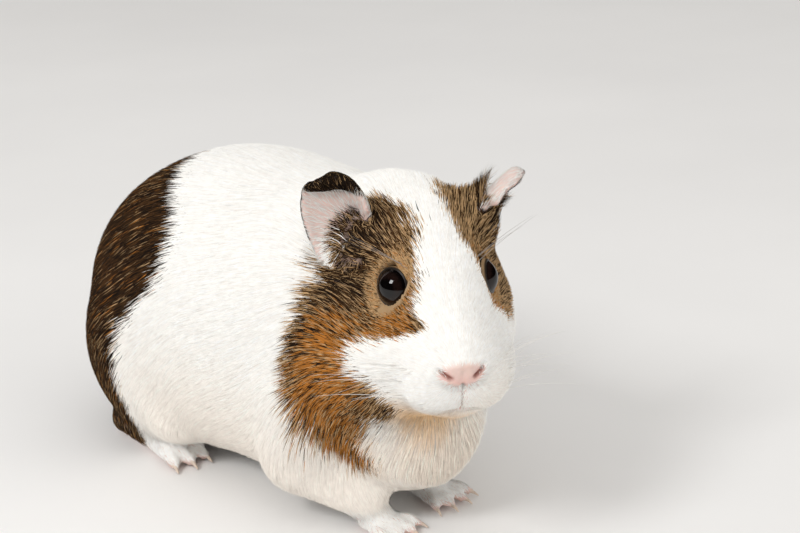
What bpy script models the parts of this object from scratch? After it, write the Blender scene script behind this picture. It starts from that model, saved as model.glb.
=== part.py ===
"""A guinea pig standing at rest with its head raised and turned to its right, life size, in metres.

The animal faces -Y, its right side is -X and its feet stand on the plane z = 0. The flesh is one form,
blended from lofts, balls and tapered limbs, and thin cuts then part it into the pieces that a person would
name. The outline runs out to the tips of the coat.
"""

import math

import bmesh
import bpy
from mathutils import Matrix, Vector

MM = 0.001

# Driving dimensions.
GAP = 0.0003                    # clearance at every cut between two pieces
BODY_GRAIN = 0.0016             # voxel of the blended body
FOOT_GRAIN = 0.0008             # voxel once the feet and the muzzle are joined to it
BODY_BLEND, FOOT_BLEND = 16, 4  # smoothing passes after each of them
FLESH_TRIANGLES = 2750          # budget of the joined flesh before it is cut
LOFT_RINGS, LOFT_SIDES = 48, 48
BALL_SIDES, LIMB_SIDES, TOE_SIDES, CLAW_SIDES, EYE_SIDES = 28, 16, 12, 8, 16
SPACE_SIDES = 16                # sides of the rounded cuts that part the limbs
HALF_SPACE = 0.5                # edge of the boxes that stand for half a space
SOLE_TRIM = 0.0                 # height of the plane that flattens the soles
WELD = 0.000002                 # points closer than this are one
SHARP = math.radians(40)        # edges that turn more than this stay sharp

NOSE = Vector((-0.0330, -0.1180, 0.0660))       # tip of the nose
HEAD_TURN = math.radians(33)                    # the head is turned this far to the animal's right

EYE_RADIUS = 0.0064
EYE_BACK, EYE_SIDE, EYE_HEIGHT = 0.0308, 0.0110, 0.0810

EAR_THICKNESS = 0.0016
EAR_BACK = 0.0460                                       # the mouth of the ear canal, behind the nose,
EAR_SIDE = {"right": 0.0205, "left": 0.0150}            # out from the middle
EAR_HEIGHT = {"right": 0.0925, "left": 0.0925}          # and above the floor
EAR_OPENING = {"right": math.radians(32), "left": math.radians(68)}     # how far outward each ear faces
EAR_DROOP = {"right": 0.0, "left": math.radians(29)}                    # how far each ear leans outward
EAR_CUP = 0.0050                # how far the rim stands forward of the canal
EAR_INSET = 0.35 * EAR_CUP      # how deep the canal is set behind its own place
EAR_FOLD = 0.0070               # width of the top rim that is folded forward over the inner face
EAR_FOLD_ROOM = 0.0030          # distance from the folded rim to the inner face
EAR_FOLD_FROM, EAR_FOLD_SPAN = 40, 70       # where the fold begins and how far round it goes, in degrees
EAR_MOUTH = 0.12                # share of each ear's reach that the canal takes
EAR_COLUMNS, EAR_RINGS = 16, 6

FORE_TOES, HIND_TOES = 4, 3

# Trunk stations from rump to chest: y, shift to the left, half width, top, bottom, in mm.
TRUNK_STATIONS = (
    (77, 0, 8, 52, 34),
    (73, 0, 19, 64, 23),
    (65, 0, 29.5, 75.5, 14),
    (50, 0, 39.5, 87, 6),
    (28, 0, 45, 96.5, 3.5),
    (6, 0, 46, 99.5, 3),
    (-16, -2, 43, 100, 3.5),
    (-36, -6, 39.5, 101, 5),
    (-54, -10, 32, 102, 8),
    (-68, -13, 22, 95, 14),
    (-78, -15, 11, 78, 30),
)

# Head stations behind the nose tip: distance back, shift to its right, half width, top, bottom, in mm.
HEAD_STATIONS = (
    (0.6, 0, 6, 69.5, 57.5),
    (3, 0, 9.8, 73.5, 53),
    (7, 0, 12.6, 77.5, 50),
    (13, 0, 15.3, 82.5, 48),
    (20, 0, 17.6, 88.5, 46),
    (28, 0, 19, 95, 44),
    (36, 0, 21, 100.5, 41),
    (46, 0, 24.5, 104, 37),
    (58, 0, 27, 105.5, 34),
    (72, 0, 26.5, 103.5, 36),
)

# The margin of an ear about its canal: degrees above the outward direction, and distance in mm.
EAR_MARGIN = (
    (-104, 8), (-80, 9.5), (-60, 10.8), (-40, 11.6), (-18, 12.8), (4, 14.2), (22, 16.6), (36, 18.8), (48, 20.4),
    (64, 20.2), (78, 21), (92, 18.4), (106, 14.5), (124, 10.5),
)

TRUNK_NARROWING, HEAD_NARROWING = 0.07, 0.36    # how far the upper part of each section draws in
TRUNK_FULLNESS = (2.15, 3.0)    # of the upper and the lower half: 2 is an ellipse, and more is squarer
HEAD_FULLNESS = (2.3, 2.3)

# Soft masses of the head, behind the nose, out from its middle and above the floor, with their radii, in mm.
# One that is off the middle stands on both sides.
HEAD_MASSES = (
    ((27.0, 8.8, 58.5), (19.0, 12.5, 15.5)),        # cheek
    ((33.0, 6.4, 85.5), (12.5, 6.4, 7.0)),          # brow
    ((49.0, 14.5, 90.5), (10.0, 8.0, 11.0)),        # ear root
)
MUZZLE_MASSES = (
    ((5.8, 0, 66.3), (6.4, 8.2, 5.4)),              # nose
    ((11.0, 6.4, 57.5), (9.4, 9.0, 8.0)),           # upper lip
    ((14.5, 0, 51.5), (8.5, 8.8, 5.2)),             # chin
)

# Soft masses of the neck and chest in world axes: centre and radii, in mm.
NECK_MASSES = (
    ((-3, -60, 71), (24, 28, 35)),
    ((-25, -61, 52), (20, 26, 26)),
    ((-30, -77, 56), (17, 19, 17)),
    ((11, -66, 57), (20, 26, 27)),
    ((-12, -75, 36), (23, 23, 26)),
)
HAUNCH = (19, 34, 33)           # radii of each thigh

# Joints of the limbs from top to bottom, and the radii there, in mm.
FORELEGS = {
    "right": ((-31, -50, 42), (-34, -48, 21), (-28, -69, 11)),
    "left": ((13, -48, 42), (14, -46, 21), (0, -65, 11)),
}
FORELEG_RADII = (17, 14.5, 8)
HIND_LEGS = {
    "right": ((-29.5, 28, 34), (-36, 8, 19), (-32, 38, 13)),
    "left": ((29.5, 28, 34), (36, 8, 19), (32, 38, 13)),
}
HIND_LEG_RADII = (20, 12, 9)

# Where each paw stands: centre of the palm or heel on the floor, and the way its toes point, in degrees
# from straight ahead towards the animal's right.
FORE_PAWS = {"right": ((-27, -72.5), -6), "left": ((-1, -68.5), -4)}
HIND_PAWS = {"right": ((-32.5, 45), 7), "left": ((32.5, 45), -7)}
HIND_SOLE = 27                  # from the heel to the roots of the toes, in mm
PALM, PALM_RADII = (0, 0.5, 3.8), (5.8, 6.8, 4.5)       # the ball of each forepaw, in mm
WRIST, WRIST_RADII = (0, 1, 5), (6.6, 5.0)              # where the leg meets the palm, in mm
HEEL_HEIGHT, BALL_HEIGHT = 4.8, 4.0                     # of the middle of the hind sole, in mm
SOLE_RADII = (6.2, 5.8)                                 # of each hind foot at the heel and at the toes
ANKLE_RADII = (8.5, 6.6)
FORE_TOE_ROOT, HIND_TOE_ROOT = 3.5, 28.35               # from the palm or the heel to the toes, in mm
FORE_TOE = (15, 11.8, 2.1)                              # degrees between toes, then reach and radius in mm
HIND_TOE = (9, 15.0, 2.6)
OUTER_TOE = 0.07                # how much shorter a toe gets away from the middle one
TOE_APART = 1.55                # the toes' roots are this many radii apart

# One toe from its root to its claw: share of its reach, height in radii, and thickness in radii.
TOE_ROOT, KNUCKLE, TOE_PAD = (0, 1.15, 1.0), (0.40, 1.50, 0.95), (0.72, 0.80, 0.85)
CLAW_ROOT, CLAW_TIP = (0.82, 0.95, 0.55), (1.0, 0.42, 0.30)

# Radii of the rounded spaces that the limbs take from the flesh, in mm, and for the paws and thighs how far
# each space lies from the paw's place or from the top of the leg, which is outward, along y and up.
FOREFOOT_SPACE, FOREFOOT_MIDDLE = (11.5, 15, 9.5), (0, -5.5, 2)
HINDFOOT_SPACE, HINDFOOT_MIDDLE = (12, 31, 10), (0, -17, 1)
FORELEG_SPACE = (18, 18.5, 31)
HINDLEG_SPACE, HINDLEG_MIDDLE = (28, 37, 36), (7, -3, -4)

# Planes that part the head and the neck: a place, and the way that points into the piece. Those of the head
# and the breast are given back from the nose, out and up, and the shoulders' plane in world axes.
NAPE = (0.056, 0, 0.075), (-0.96, 0, 0.28)
THROAT = (0.028, 0, 0.0425), (0.24, 0, 0.97)
BREAST = (0.040, 0, 0.0330), (0.34, 0, 0.94)
SHOULDERS, SHOULDERS_RISE = Vector((-0.010, -0.054, 0.070)), 0.20


# ---------------------------------------------------------------- meshes

def clear_scene():
    for old in list(bpy.data.objects):
        bpy.data.objects.remove(old, do_unlink=True)


def make_material(name, colour, roughness):
    material = bpy.data.materials.new(name)
    material.use_nodes = True
    shader = material.node_tree.nodes["Principled BSDF"]
    shader.inputs["Base Color"].default_value = (*colour, 1)
    shader.inputs["Roughness"].default_value = roughness
    return material


def new_object(name, mesh, material=None):
    made = bpy.data.objects.new(name, mesh)
    bpy.context.scene.collection.objects.link(made)
    if material:
        mesh.materials.clear()
        mesh.materials.append(material)
    return made


def mesh_from(name, form):
    """A mesh from a bmesh, which is then freed."""
    bmesh.ops.recalc_face_normals(form, faces=form.faces)
    mesh = bpy.data.meshes.new(name)
    form.to_mesh(mesh)
    form.free()
    return mesh


def baked(obj):
    """The object's mesh with its modifiers applied. The object itself is removed."""
    bpy.context.view_layer.update()
    graph = bpy.context.evaluated_depsgraph_get()
    mesh = bpy.data.meshes.new_from_object(obj.evaluated_get(graph), depsgraph=graph)
    bpy.data.objects.remove(obj)
    return mesh


def blended(mesh, grain, passes):
    """One closed skin round everything in the mesh, smoothed where the masses meet."""
    rough = new_object("rough", mesh)
    voxels = rough.modifiers.new("voxels", "REMESH")
    voxels.mode = "VOXEL"
    voxels.voxel_size = grain
    soften = rough.modifiers.new("soften", "SMOOTH")
    soften.factor = 0.5
    soften.iterations = passes
    return baked(rough)


def thinned(mesh, triangles):
    """The mesh within a budget of triangles, finest where it curves most."""
    counted = sum(len(face.vertices) - 2 for face in mesh.polygons)
    dense = new_object("dense", mesh)
    fewer = dense.modifiers.new("fewer", "DECIMATE")
    fewer.ratio = min(1, triangles / counted)
    fewer.use_collapse_triangulate = True
    return baked(dense)


def boolean(mesh, other, operation):
    """The mesh cut by another one. Both meshes stay as they are."""
    cutter = new_object("cutter", other.copy())
    cutter.hide_render = True
    cutter.display_type = "WIRE"
    stock = new_object("stock", mesh.copy())
    cut = stock.modifiers.new("cut", "BOOLEAN")
    cut.operation = operation
    cut.solver = "EXACT"
    cut.object = cutter
    result = baked(stock)
    bpy.data.objects.remove(cutter)
    return result


def half_space(point, normal):
    """A large box on the side of the plane that its normal points to."""
    turn = Vector(normal).to_track_quat("Z", "Y").to_matrix().to_4x4()
    place = Matrix.Translation(Vector(point)) @ turn @ Matrix.Translation((0, 0, HALF_SPACE / 2))
    form = bmesh.new()
    bmesh.ops.create_cube(form, size=HALF_SPACE, matrix=place)
    return mesh_from("half_space", form)


# ---------------------------------------------------------------- places

def head_axes():
    """Unit vectors of the turned head: forward, to its right, and up."""
    forward = Vector((-math.sin(HEAD_TURN), -math.cos(HEAD_TURN), 0))
    right = Vector((-math.cos(HEAD_TURN), math.sin(HEAD_TURN), 0))
    return forward, right, Vector((0, 0, 1))


def head_point(back, right, height):
    """A place on the head: metres behind the nose, to its right, and above the floor."""
    forward, to_right, _ = head_axes()
    place = NOSE - forward * back + to_right * right
    place.z = height
    return place


def head_matrix(back, right, height):
    """Local X is the head's forward, local Y its left and local Z up."""
    forward, to_right, up = head_axes()
    turn = Matrix((forward, -to_right, up)).transposed().to_4x4()
    return Matrix.Translation(head_point(back, right, height)) @ turn


def eye_place(side):
    return head_point(EYE_BACK, side * EYE_SIDE, EYE_HEIGHT)


# ---------------------------------------------------------------- basic forms

def ellipsoid(form, matrix, radii, around=BALL_SIDES):
    """Adds an ellipsoid to a bmesh. The matrix places and turns it."""
    size = Matrix.Diagonal((*radii, 1))
    bmesh.ops.create_uvsphere(form, u_segments=around, v_segments=around // 2, radius=1, matrix=matrix @ size)


def tapered_limb(form, points, radii, around=LIMB_SIDES):
    """Adds balls at the points and a cone between each two of them."""
    for (a, b), (ra, rb) in zip(zip(points, points[1:]), zip(radii, radii[1:])):
        axis = b - a
        turn = axis.to_track_quat("Z", "Y").to_matrix().to_4x4()
        bmesh.ops.create_cone(form, cap_ends=True, segments=around, radius1=ra, radius2=rb,
                              depth=axis.length, matrix=Matrix.Translation((a + b) / 2) @ turn)
    for place, radius in zip(points, radii):
        ellipsoid(form, Matrix.Translation(place), (radius,) * 3, around)


def in_metres(points):
    return [Vector(p) * MM for p in points]


def smooth_rows(rows, count):
    """Rows of numbers read along a smooth curve (Catmull-Rom) through the given ones."""
    read = []
    last = len(rows) - 1
    for i in range(count):
        place = i / (count - 1) * last
        k = min(int(place), last - 1)
        t = place - k
        four = (rows[min(max(j, 0), last)] for j in (k - 1, k, k + 1, k + 2))
        read.append(tuple(
            0.5 * (2 * b + (c - a) * t + (2 * a - 5 * b + 4 * c - d) * t ** 2
                   + (3 * b - a - 3 * c + d) * t ** 3)
            for a, b, c, d in zip(*four)))
    return read


def section(half_width, top, bottom, fullness, narrowing, around):
    """An egg-shaped section as (across, height) pairs, fuller above or below. Narrowing draws in its top."""
    middle, half = (top + bottom) / 2, (top - bottom) / 2
    ring = []
    for i in range(around):
        a = 2 * math.pi * i / around
        power = 2 / (fullness[0] if a < math.pi else fullness[1])
        across = math.copysign(abs(math.cos(a)) ** power, math.cos(a))
        rise = math.copysign(abs(math.sin(a)) ** power, math.sin(a))
        ring.append((half_width * across * (1 - narrowing * rise), middle + half * rise))
    return ring


def loft(form, stations, place, fullness, narrowing):
    """Adds a closed loft to a bmesh. place(along, across, height) gives each point in space."""
    rings = []
    for along, shift, half_width, top, bottom in smooth_rows(stations, LOFT_RINGS):
        ring = section(half_width, top, bottom, fullness, narrowing, LOFT_SIDES)
        rings.append([form.verts.new(place(along * MM, (shift + x) * MM, z * MM)) for x, z in ring])
    for a, b in zip(rings, rings[1:]):
        for i in range(LOFT_SIDES):
            j = (i + 1) % LOFT_SIDES
            form.faces.new((a[i], a[j], b[j], b[i]))
    form.faces.new(rings[0][::-1])
    form.faces.new(rings[-1])


# ---------------------------------------------------------------- flesh

def add_trunk(form):
    loft(form, TRUNK_STATIONS, lambda y, x, z: Vector((x, y, z)), TRUNK_FULLNESS, TRUNK_NARROWING)
    for centre, radii in NECK_MASSES:
        ellipsoid(form, Matrix.Translation(Vector(centre) * MM), Vector(radii) * MM)


def add_masses(form, masses):
    for (back, out, height), radii in masses:
        for side in (1, -1) if out else (1,):
            ellipsoid(form, head_matrix(back * MM, side * out * MM, height * MM), Vector(radii) * MM)


def add_head(form):
    loft(form, HEAD_STATIONS, head_point, HEAD_FULLNESS, HEAD_NARROWING)
    add_masses(form, HEAD_MASSES)


def add_limbs(form):
    for points in FORELEGS.values():
        tapered_limb(form, in_metres(points), [r * MM for r in FORELEG_RADII])
    for points in HIND_LEGS.values():
        tapered_limb(form, in_metres(points), [r * MM for r in HIND_LEG_RADII])
        haunch = Vector(points[0]) * MM
        ellipsoid(form, Matrix.Translation(haunch), Vector(HAUNCH) * MM)


def paw_matrix(place, heading):
    """Local -Y is the way the toes point and the origin is on the floor."""
    turn = Matrix.Rotation(-math.radians(heading), 4, "Z")
    return Matrix.Translation((place[0] * MM, place[1] * MM, 0)) @ turn


def add_toes(form, matrix, count, spread, reach, radius):
    """A fan of toes from the local origin. Each one arches, meets the floor and ends in a claw."""
    reach, radius = reach * MM, radius * MM
    for i in range(count):
        out = i - (count - 1) / 2
        angle = math.radians(spread) * out
        length = reach * (1 - OUTER_TOE * out * out)
        way = Vector((-math.sin(angle), -math.cos(angle), 0))
        start = Vector((-out * radius * TOE_APART, 0, 0))

        def chain(stages, sides):
            places = [matrix @ (start + way * length * share + Vector((0, 0, radius * rise)))
                      for share, rise, _ in stages]
            tapered_limb(form, places, [radius * thick for _, _, thick in stages], sides)

        chain((TOE_ROOT, KNUCKLE, TOE_PAD), TOE_SIDES)
        chain((CLAW_ROOT, CLAW_TIP), CLAW_SIDES)


def add_paws(form):
    for side, (place, heading) in FORE_PAWS.items():
        matrix = paw_matrix(place, heading)
        ellipsoid(form, matrix @ Matrix.Translation(Vector(PALM) * MM), Vector(PALM_RADII) * MM)
        wrist = Vector(FORELEGS[side][-1]) * MM
        tapered_limb(form, [wrist, matrix @ (Vector(WRIST) * MM)], [r * MM for r in WRIST_RADII])
        add_toes(form, matrix @ Matrix.Translation((0, -FORE_TOE_ROOT * MM, 0)), FORE_TOES, *FORE_TOE)
    for side, (place, heading) in HIND_PAWS.items():
        matrix = paw_matrix(place, heading)
        heel, ball = Vector((0, 0, HEEL_HEIGHT)) * MM, Vector((0, -HIND_SOLE, BALL_HEIGHT)) * MM
        tapered_limb(form, [matrix @ heel, matrix @ ball], [r * MM for r in SOLE_RADII])
        ankle = Vector(HIND_LEGS[side][-1]) * MM
        tapered_limb(form, [ankle, matrix @ heel], [r * MM for r in ANKLE_RADII])
        add_toes(form, matrix @ Matrix.Translation((0, -HIND_TOE_ROOT * MM, 0)), HIND_TOES, *HIND_TOE)


def joined_flesh():
    """Body, head, limbs and paws as one smooth closed form that stands on flats at z = 0."""
    form = bmesh.new()
    add_trunk(form)
    add_head(form)
    add_limbs(form)
    body = blended(mesh_from("body", form), BODY_GRAIN, BODY_BLEND)
    form = bmesh.new()
    form.from_mesh(body)
    add_masses(form, MUZZLE_MASSES)
    add_paws(form)
    fine = thinned(blended(mesh_from("fine", form), FOOT_GRAIN, FOOT_BLEND), FLESH_TRIANGLES)
    return boolean(fine, half_space((0, 0, SOLE_TRIM), (0, 0, 1)), "INTERSECT")


# ---------------------------------------------------------------- ears and eyes

def ear_frame(side_name):
    """The canal of an ear, the way its inner face looks, and the directions across and up its face."""
    side = 1 if side_name == "right" else -1
    canal = head_point(EAR_BACK, side * EAR_SIDE[side_name], EAR_HEIGHT[side_name])
    forward, to_right, up = head_axes()
    outward = to_right * side
    opening = EAR_OPENING[side_name]
    facing = forward * math.cos(opening) + outward * math.sin(opening)
    across = outward * math.cos(opening) - forward * math.sin(opening)
    lean = Matrix.Rotation(EAR_DROOP[side_name] * side, 3, forward)
    return canal, lean @ facing, lean @ across, lean @ up


def ear_fold(along, reach):
    """Distance from the canal and rise off the face, for a distance along an ear that folds at its reach."""
    bend = EAR_FOLD_ROOM / 2
    turn = min(max((along - reach + bend) / bend, 0), math.pi)
    beyond = max(0.0, along - reach + bend - math.pi * bend)
    radius = min(along, reach - bend) + bend * math.sin(turn) - beyond
    return radius, bend * (1 - math.cos(turn))


def ear_mesh(side_name):
    """The cupped shell of one ear, its top rim folded forward."""
    canal, facing, across, up = ear_frame(side_name)
    margin = smooth_rows(EAR_MARGIN, EAR_COLUMNS + 1)
    form = bmesh.new()
    bmesh.ops.create_grid(form, x_segments=EAR_COLUMNS, y_segments=EAR_RINGS, size=0.5)
    for vertex in form.verts:
        column = round((vertex.co.x + 0.5) * EAR_COLUMNS)
        share = vertex.co.y + 0.5
        degrees, reach = margin[column]
        reach *= MM
        angle = math.radians(degrees)
        way = across * math.cos(angle) + up * math.sin(angle)
        folded = math.sin(math.pi * min(max((degrees - EAR_FOLD_FROM) / EAR_FOLD_SPAN, 0), 1))
        along = (reach + EAR_FOLD * folded) * (EAR_MOUTH + (1 - EAR_MOUTH) * share)
        radius, rise = ear_fold(along, reach)
        lift = EAR_CUP * (radius / reach) ** 2 + rise
        vertex.co = canal + way * radius + facing * (lift - EAR_INSET)
    shell = new_object("shell", mesh_from("ear", form))
    wall = shell.modifiers.new("wall", "SOLIDIFY")
    wall.thickness = EAR_THICKNESS
    wall.offset = 0
    return baked(shell)


def eye_mesh(side, radius):
    form = bmesh.new()
    ellipsoid(form, Matrix.Translation(eye_place(side)), (radius,) * 3, EYE_SIDES)
    return mesh_from("eye", form)


# ---------------------------------------------------------------- cuts

def rounded_space(matrix, radii, extra):
    """The rounded space that a limb takes from the flesh. extra widens it on all sides."""
    form = bmesh.new()
    ellipsoid(form, matrix, [r * MM + extra for r in radii], SPACE_SIDES)
    return mesh_from("space", form)


def foreleg_matrix(points):
    """Placed half-way down a foreleg, with local Z along it."""
    shoulder, elbow, wrist = in_metres(points)
    turn = (shoulder - wrist).to_track_quat("Z", "Y").to_matrix().to_4x4()
    return Matrix.Translation((shoulder + elbow + wrist) / 3) @ turn


def swollen(mesh, amount):
    """The mesh with every face moved outward by the amount."""
    form = bmesh.new()
    form.from_mesh(mesh)
    form.normal_update()
    moved = [vertex.co + vertex.normal * amount * vertex.calc_shell_factor() for vertex in form.verts]
    for vertex, place in zip(form.verts, moved):
        vertex.co = place
    return mesh_from("swollen", form)


def wedge(planes, extra):
    """The space on the inner side of all the planes, given as (point, inward normal)."""
    region = None
    for point, normal in planes:
        normal = normal.normalized()
        side = half_space(point - normal * extra, normal)
        region = boolean(region, side, "INTERSECT") if region else side
    return region


def taken(mesh, region_at):
    """Takes a piece out of the flesh: the piece inside the region, and what is left a gap away."""
    piece = boolean(mesh, region_at(0), "INTERSECT")
    rest = boolean(mesh, region_at(GAP), "DIFFERENCE")
    return whole(piece), whole(rest)


def whole(mesh):
    """The mesh without the loose crumbs that a cut may leave beside its one large body."""
    form = bmesh.new()
    form.from_mesh(mesh)
    unseen = set(form.verts)
    bodies = []
    while unseen:
        body, edge_of = set(), [unseen.pop()]
        while edge_of:
            vertex = edge_of.pop()
            body.add(vertex)
            for edge in vertex.link_edges:
                other = edge.other_vert(vertex)
                if other in unseen:
                    unseen.discard(other)
                    edge_of.append(other)
        bodies.append(body)
    bodies.sort(key=len)
    crumbs = [vertex for body in bodies[:-1] for vertex in body]
    bmesh.ops.delete(form, geom=crumbs, context="VERTS")
    bmesh.ops.remove_doubles(form, verts=form.verts, dist=WELD)
    bmesh.ops.dissolve_degenerate(form, edges=form.edges, dist=WELD)
    bmesh.ops.triangulate(form, faces=form.faces)
    form.to_mesh(mesh)
    form.free()
    return mesh


def head_vector(back, right, rise):
    forward, to_right, up = head_axes()
    return to_right * right - forward * back + up * rise


def head_planes():
    """The head lies in front of the nape and above the throat."""
    return [(head_point(*place), head_vector(*inward)) for place, inward in (NAPE, THROAT)]


def neck_planes():
    """The neck lies in front of the shoulders and above the breast."""
    turn = HEAD_TURN / 2
    shoulders = (SHOULDERS, Vector((-math.sin(turn), -math.cos(turn), SHOULDERS_RISE)))
    place, inward = BREAST
    return shoulders, (head_point(*place), head_vector(*inward))


def flesh_pieces():
    """Every piece of flesh by its name, cut apart."""
    rest = joined_flesh()
    pieces = {}
    spaces = []
    for side, (place, heading) in FORE_PAWS.items():
        matrix = paw_matrix(place, heading) @ Matrix.Translation(Vector(FOREFOOT_MIDDLE) * MM)
        spaces.append(("forefoot_" + side, matrix, FOREFOOT_SPACE))
    for side, (place, heading) in HIND_PAWS.items():
        matrix = paw_matrix(place, heading) @ Matrix.Translation(Vector(HINDFOOT_MIDDLE) * MM)
        spaces.append(("hindfoot_" + side, matrix, HINDFOOT_SPACE))
    for side, points in FORELEGS.items():
        spaces.append(("foreleg_" + side, foreleg_matrix(points), FORELEG_SPACE))
    outward, along, rise = HINDLEG_MIDDLE
    for side, points in HIND_LEGS.items():
        away = Vector((outward if side == "left" else -outward, along, rise))
        matrix = Matrix.Translation((Vector(points[0]) + away) * MM)
        spaces.append(("hindleg_" + side, matrix, HINDLEG_SPACE))
    for name, matrix, radii in spaces:
        pieces[name], rest = taken(rest, lambda extra: rounded_space(matrix, radii, extra))
    pieces["head"], rest = taken(rest, lambda extra: wedge(head_planes(), extra))
    pieces["neck"], pieces["trunk"] = taken(rest, lambda extra: wedge(neck_planes(), extra))
    return pieces


def foot_of(meshes):
    """The middle of everything on the floor, which becomes the origin."""
    places = [vertex.co for mesh in meshes for vertex in mesh.vertices]
    middle = [(min(p[axis] for p in places) + max(p[axis] for p in places)) / 2 for axis in (0, 1)]
    return Vector((*middle, 0))


def main():
    clear_scene()
    coat = make_material("coat", (0.85, 0.82, 0.78), 0.8)
    bare = make_material("bare_skin", (0.85, 0.55, 0.50), 0.6)
    eye = make_material("eye", (0.01, 0.01, 0.01), 0.1)
    pieces = flesh_pieces()
    finishes = dict.fromkeys(pieces, coat)
    for name, side in (("right", 1), ("left", -1)):
        pieces["head"] = whole(boolean(pieces["head"], eye_mesh(side, EYE_RADIUS + GAP), "DIFFERENCE"))
        socket = swollen(ear_mesh(name), GAP)
        for neighbour in ("head", "neck"):
            pieces[neighbour] = whole(boolean(pieces[neighbour], socket, "DIFFERENCE"))
        pieces["ear_" + name] = ear_mesh(name)
        pieces["eye_" + name] = eye_mesh(side, EYE_RADIUS)
        finishes["ear_" + name] = bare
        finishes["eye_" + name] = eye
    to_origin = Matrix.Translation(-foot_of(pieces.values()))
    for name, mesh in pieces.items():
        mesh.transform(to_origin)
        made = new_object(name, mesh, finishes[name])
        made.data.shade_smooth()
        made.data.set_sharp_from_angle(angle=SHARP)


main()
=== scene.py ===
# The looks of a still, life-size guinea pig: skin, coat, eyes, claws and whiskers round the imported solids.
import math

import bmesh
import bpy
import numpy as np
from mathutils import Matrix, Vector
from mathutils.bvhtree import BVHTree
from mathutils.kdtree import KDTree


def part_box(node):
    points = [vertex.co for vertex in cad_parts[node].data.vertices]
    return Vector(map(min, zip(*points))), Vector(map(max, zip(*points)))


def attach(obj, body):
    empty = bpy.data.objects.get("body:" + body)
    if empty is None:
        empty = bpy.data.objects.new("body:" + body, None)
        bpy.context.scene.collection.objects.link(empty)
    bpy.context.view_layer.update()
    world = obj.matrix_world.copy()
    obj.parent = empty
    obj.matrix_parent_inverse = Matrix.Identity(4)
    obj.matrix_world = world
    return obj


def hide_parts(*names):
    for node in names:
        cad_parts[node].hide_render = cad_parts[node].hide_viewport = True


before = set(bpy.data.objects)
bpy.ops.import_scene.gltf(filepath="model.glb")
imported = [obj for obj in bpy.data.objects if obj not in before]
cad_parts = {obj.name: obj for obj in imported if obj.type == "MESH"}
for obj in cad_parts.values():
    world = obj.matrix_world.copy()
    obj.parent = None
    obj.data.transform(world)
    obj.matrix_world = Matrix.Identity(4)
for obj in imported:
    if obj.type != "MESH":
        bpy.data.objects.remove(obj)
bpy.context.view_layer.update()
mm = 0.001
up = Vector((0, 0, 1))

sides = {"right": 1, "left": -1}
feet = ("forefoot", "hindfoot")
# nodes of flesh that the one skin replaces
fleshNodes = ["head", "neck", "trunk"]
fleshNodes += [limb + "_" + side for limb in ("foreleg", "hindleg", *feet) for side in sides]
earNodes = ["ear_" + side for side in sides]


def middle(node):
    low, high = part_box(node)
    return (Vector(low) + Vector(high)) / 2


eyeCentres = {side: middle("eye_" + side) for side in sides}
eyeRadius = (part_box("eye_right")[1][2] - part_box("eye_right")[0][2]) / 2
eyeMiddle = (eyeCentres["right"] + eyeCentres["left"]) / 2
headRight = (eyeCentres["right"] - eyeCentres["left"]).normalized()
headForward = up.cross(headRight)
noseReach = max((v.co - eyeMiddle).dot(headForward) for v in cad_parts["head"].data.vertices)
noseTip = eyeMiddle + headForward * noseReach


def headPlace(back, side, height):
    # millimetres behind the nose, to the head's right and above the floor, as a place in the frame
    place = noseTip - headForward * back * mm + headRight * side * mm
    place.z = height * mm
    return place


def headVector(back, side, rise):
    return -headForward * back + headRight * side + up * rise


def headCoords(points):
    # the reverse of headPlace, for many points: back, side and height in millimetres
    away = points - np.array(noseTip)
    return -away @ np.array(headForward) / mm, away @ np.array(headRight) / mm, points[:, 2] / mm


def unit(vectors):
    return vectors / np.maximum(np.linalg.norm(vectors, axis=-1, keepdims=True), 1e-9)


def wander(points, size, turn):
    # a soft wave between -1 and 1 that never repeats over the body; size is the length of a wave in metres
    p = points / size * 2 * math.pi
    a = np.sin(p[:, 0] + 1.7 * np.sin(0.61 * p[:, 1] + turn) + turn)
    b = np.sin(0.83 * p[:, 1] + 1.3 * np.sin(0.71 * p[:, 2] + 2.1 * turn) + 3 * turn)
    c = np.sin(1.21 * p[:, 2] + 1.9 * np.sin(0.57 * p[:, 0] + 1.3 * turn) + 5 * turn)
    return (a + b + c) / 3


def softStep(low, high, x):
    t = np.clip((x - low) / (high - low), 0, 1)
    return t * t * (3 - 2 * t)


def mix(first, second, share):
    return first * (1 - share) + second * share


def bell(distance, width):
    return np.exp(-(distance / width) ** 2)


def newObject(name, mesh, material=None):
    made = bpy.data.objects.new(name, mesh)
    bpy.context.scene.collection.objects.link(made)
    if material:
        mesh.materials.clear()
        mesh.materials.append(material)
    return made


def formOf(mesh):
    form = bmesh.new()
    form.from_mesh(mesh)
    return form


def meshFrom(name, form):
    mesh = bpy.data.meshes.new(name)
    form.to_mesh(mesh)
    form.free()
    return mesh


def meshFromArrays(name, points, triangles):
    mesh = bpy.data.meshes.new(name)
    mesh.vertices.add(len(points))
    mesh.vertices.foreach_set("co", np.asarray(points, dtype=np.float32).ravel())
    mesh.loops.add(len(triangles) * 3)
    mesh.loops.foreach_set("vertex_index", np.asarray(triangles, dtype=np.int32).ravel())
    mesh.polygons.add(len(triangles))
    mesh.polygons.foreach_set("loop_start", np.arange(0, len(triangles) * 3, 3, dtype=np.int32))
    mesh.update(calc_edges=True)
    return mesh


def pointsOf(mesh):
    points = np.empty(len(mesh.vertices) * 3, dtype=np.float32)
    mesh.vertices.foreach_get("co", points)
    return points.reshape(-1, 3).astype(float)


def normalsOf(mesh):
    normals = np.empty(len(mesh.vertices) * 3, dtype=np.float32)
    mesh.vertex_normals.foreach_get("vector", normals)
    return normals.reshape(-1, 3).astype(float)


def movePoints(mesh, points):
    mesh.vertices.foreach_set("co", points.astype(np.float32).ravel())
    mesh.update()


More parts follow.
